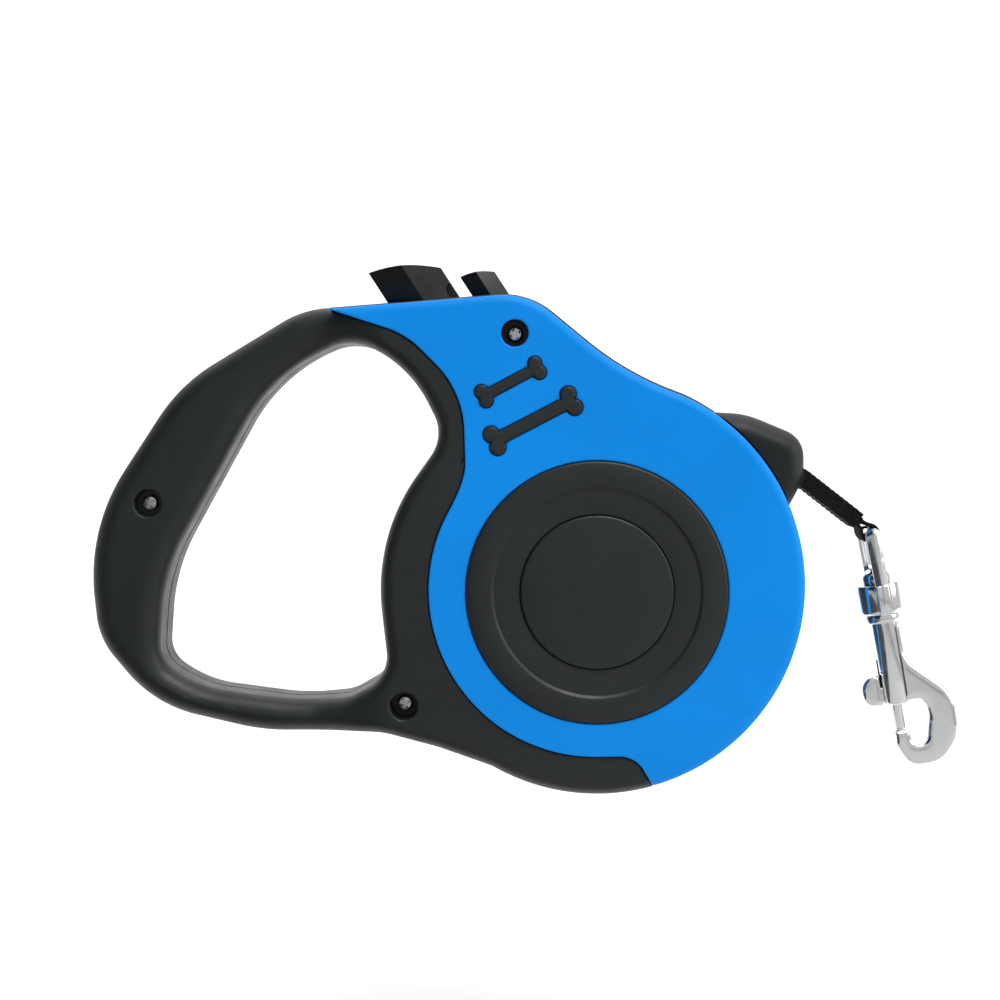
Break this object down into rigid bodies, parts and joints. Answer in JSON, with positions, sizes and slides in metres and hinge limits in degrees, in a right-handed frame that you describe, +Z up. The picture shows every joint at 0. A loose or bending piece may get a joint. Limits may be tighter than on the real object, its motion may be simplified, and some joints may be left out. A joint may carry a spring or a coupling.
{
  "type": "retractable tape leash",
  "caption": "Retractable pet leash: D-handled case with blue covers, bone-shaped pads and a hub face, sprung tape spool, brake and lock buttons, tape nozzle and a swivel bolt snap.",
  "frame": {"origin": "middle of the grip, on the case's middle plane", "axes": "+X from the handle towards the clip, -Y towards the front cover, +Z up"},
  "size_m": [0.2011, 0.0288, 0.1217],
  "materials": {
    "case_black": "fine moulded texture",
    "cover_blue": "fine satin",
    "cap_black": "fine moulded texture",
    "nozzle_black": "smooth satin",
    "button_black": "smooth satin",
    "screw_steel": "zinc plated",
    "arbor_steel": "plain",
    "spring_steel": "blued strip and wire",
    "spool_white": "plain",
    "tape_black": "woven nylon",
    "clip_chrome": "bright plated"
  },
  "bodies": {
    "housing": {"front_shell": "case_black", "rear_shell": "case_black", "front_cover": "cover_blue", "rear_cover": "cover_blue", "front_hub_cap": "cap_black", "rear_hub_cap": "cap_black", "tape_nozzle": "nozzle_black", "case_screws": "screw_steel", "spring_arbor": "arbor_steel", "power_spring": "spring_steel", "brake_spring": "spring_steel", "tape_run": "tape_black"},
    "spool": {"spool": "spool_white", "spool_cover": "spool_white", "wound_tape": "tape_black", "tape_anchor_pin": "arbor_steel"},
    "leash_end": {"tape_end": "tape_black"},
    "brake": {"brake_button": "button_black"},
    "lock": {"lock_button": "button_black"},
    "clip_eye": {"swivel_eye": "clip_chrome"},
    "clip_body": {"snap_body": "clip_chrome", "snap_spring": "spring_steel"},
    "clip_bolt": {"snap_bolt": "clip_chrome"}
  },
  "joints": [
    {"name": "leash_pull", "type": "slide", "parent": "housing", "child": "leash_end", "axis": [0.788, 0, -0.6157], "range_m": [0, 4.85]},
    {"name": "spool_spin", "type": "hinge", "parent": "housing", "child": "spool", "pos_m": [0.102, 0, -0.02], "axis": [0, 1, 0], "range_deg": [0, 8640], "stiffness_Nm_per_rad": 0.00083, "springref_deg": -8880.85},
    {"name": "brake_button", "type": "slide", "parent": "housing", "child": "brake", "axis": [0.5446, 0, -0.8387], "range_m": [0, 0.005], "stiffness_N_per_m": 600, "springref_m": -0.004, "deforming": ["brake_spring"]},
    {"name": "lock_button", "type": "slide", "parent": "housing", "child": "lock", "axis": [0.5446, 0, -0.8387], "range_m": [0, 0.004]},
    {"name": "clip_hinge", "type": "hinge", "parent": "leash_end", "child": "clip_eye", "pos_m": [0.1661, 0, -0.0074], "axis": [0, 1, 0], "range_deg": [-120, 25]},
    {"name": "clip_swivel", "type": "hinge", "parent": "clip_eye", "child": "clip_body", "pos_m": [0.1661, 0, -0.0074], "axis": [0.1616, 0, -0.9869], "continuous": true},
    {"name": "snap_bolt", "type": "slide", "parent": "clip_body", "child": "clip_bolt", "axis": [-0.1616, 0, 0.9869], "range_m": [0, 0.0062], "stiffness_N_per_m": 300, "springref_m": -0.004, "deforming": ["snap_spring"]}
  ],
  "couplings": [
    {"joint": "spool_spin", "follows": "leash_pull", "rad_per_m": 31.092}
  ]
}
